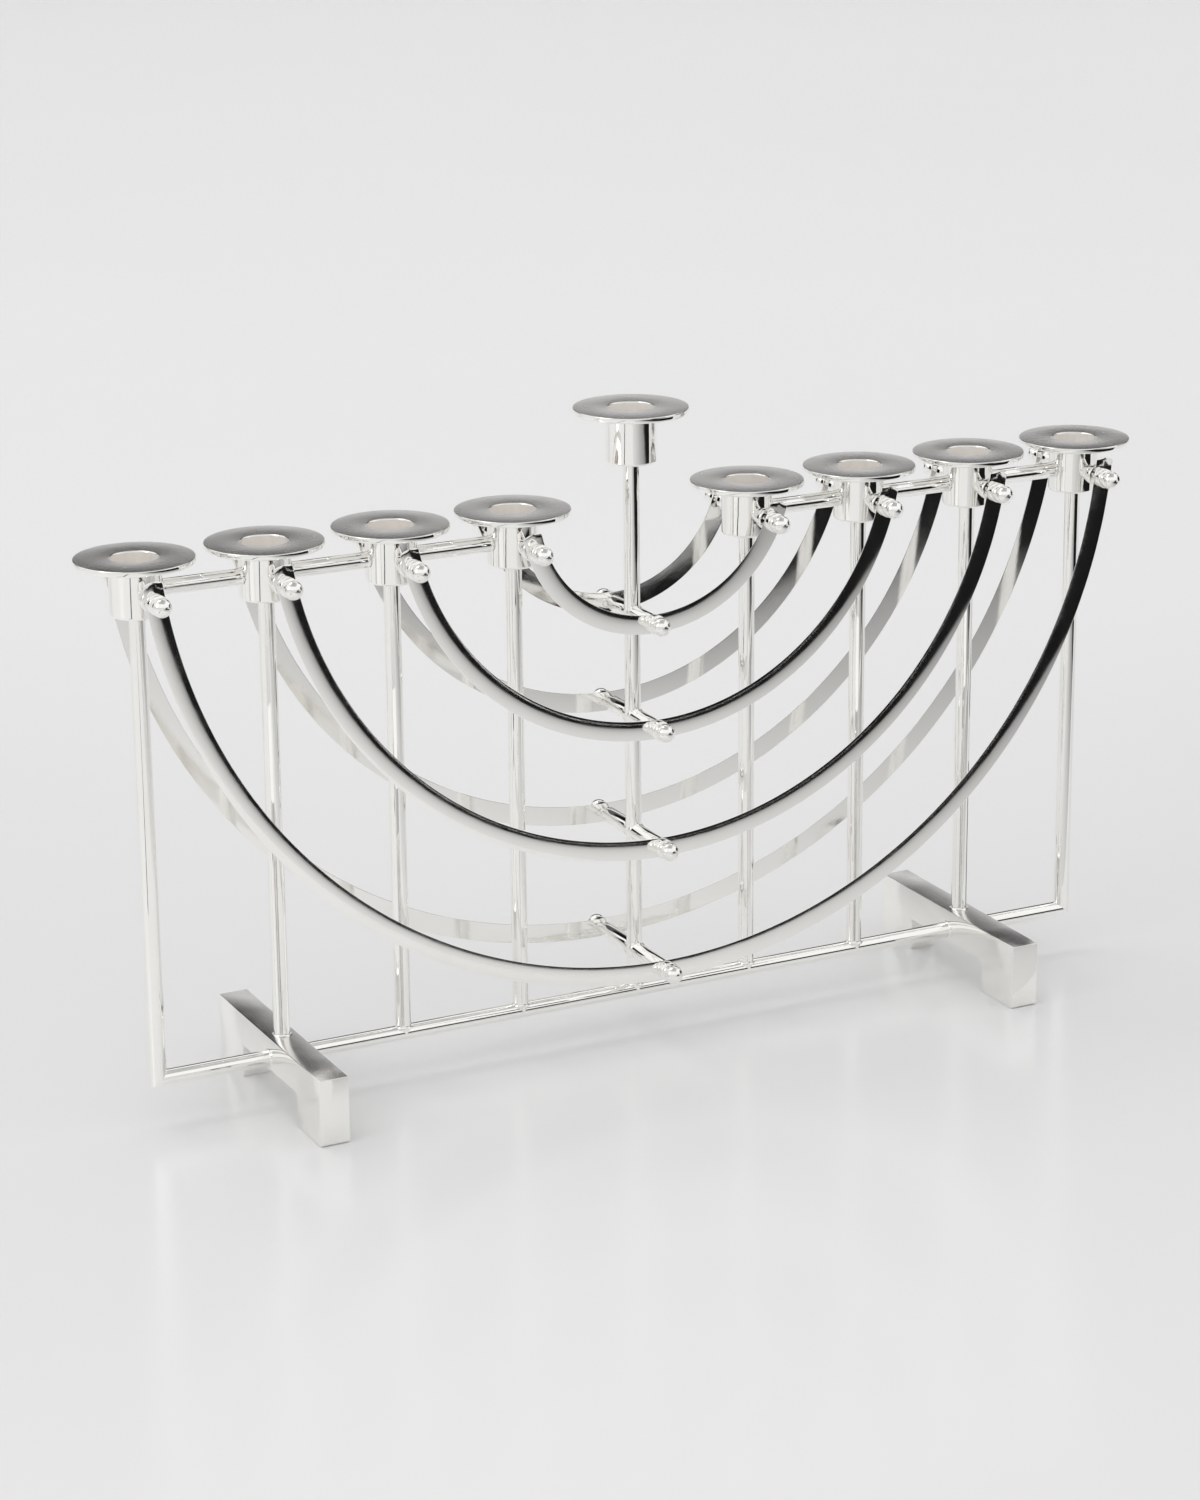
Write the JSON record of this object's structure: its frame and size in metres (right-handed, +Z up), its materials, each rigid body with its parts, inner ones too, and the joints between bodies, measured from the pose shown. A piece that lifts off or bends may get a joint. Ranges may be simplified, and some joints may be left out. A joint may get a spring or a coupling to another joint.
{
  "type": "menorah",
  "caption": "Hanukkah candle holder with cups in a row, a raised shamash cup, round posts on a base rail, nested half-hoops front and back, and bridge feet.",
  "frame": {"origin": "on the table plane, midway between the feet, under the centre post's axis", "axes": "+X along the row of cups, +Y to the back, +Z up; the front hoops are on the -Y side"},
  "size_m": [0.3066, 0.07, 0.1745],
  "materials": {
    "polished_silver": "polished",
    "satin_silver": "satin"
  },
  "bodies": {
    "root": {"cup_post_1": "polished_silver", "cup_post_2": "polished_silver", "cup_post_3": "polished_silver", "cup_post_4": "polished_silver", "cup_post_5": "polished_silver", "cup_post_6": "polished_silver", "cup_post_7": "polished_silver", "cup_post_8": "polished_silver", "centre_post": "polished_silver", "base_rail": "polished_silver", "link_bar_1_2": "polished_silver", "link_bar_2_3": "polished_silver", "link_bar_3_4": "polished_silver", "link_bar_5_6": "polished_silver", "link_bar_6_7": "polished_silver", "link_bar_7_8": "polished_silver", "front_hoop_1": "polished_silver", "front_hoop_2": "polished_silver", "front_hoop_3": "polished_silver", "front_hoop_4": "polished_silver", "back_hoop_1": "polished_silver", "back_hoop_2": "polished_silver", "back_hoop_3": "polished_silver", "back_hoop_4": "polished_silver", "front_strut_1": "polished_silver", "front_strut_2": "polished_silver", "front_strut_3": "polished_silver", "front_strut_4": "polished_silver", "back_strut_1": "polished_silver", "back_strut_2": "polished_silver", "back_strut_3": "polished_silver", "back_strut_4": "polished_silver", "front_stud_1": "polished_silver", "front_stud_2": "polished_silver", "front_stud_3": "polished_silver", "front_stud_4": "polished_silver", "front_stud_5": "polished_silver", "front_stud_6": "polished_silver", "front_stud_7": "polished_silver", "front_stud_8": "polished_silver", "back_stud_1": "polished_silver", "back_stud_2": "polished_silver", "back_stud_3": "polished_silver", "back_stud_4": "polished_silver", "back_stud_5": "polished_silver", "back_stud_6": "polished_silver", "back_stud_7": "polished_silver", "back_stud_8": "polished_silver", "candle_cup_1": "satin_silver", "candle_cup_2": "satin_silver", "candle_cup_3": "satin_silver", "candle_cup_4": "satin_silver", "candle_cup_5": "satin_silver", "candle_cup_6": "satin_silver", "candle_cup_7": "satin_silver", "candle_cup_8": "satin_silver", "shamash_cup": "satin_silver", "foot_left": "satin_silver", "foot_right": "satin_silver"}
  },
  "joints": []
}
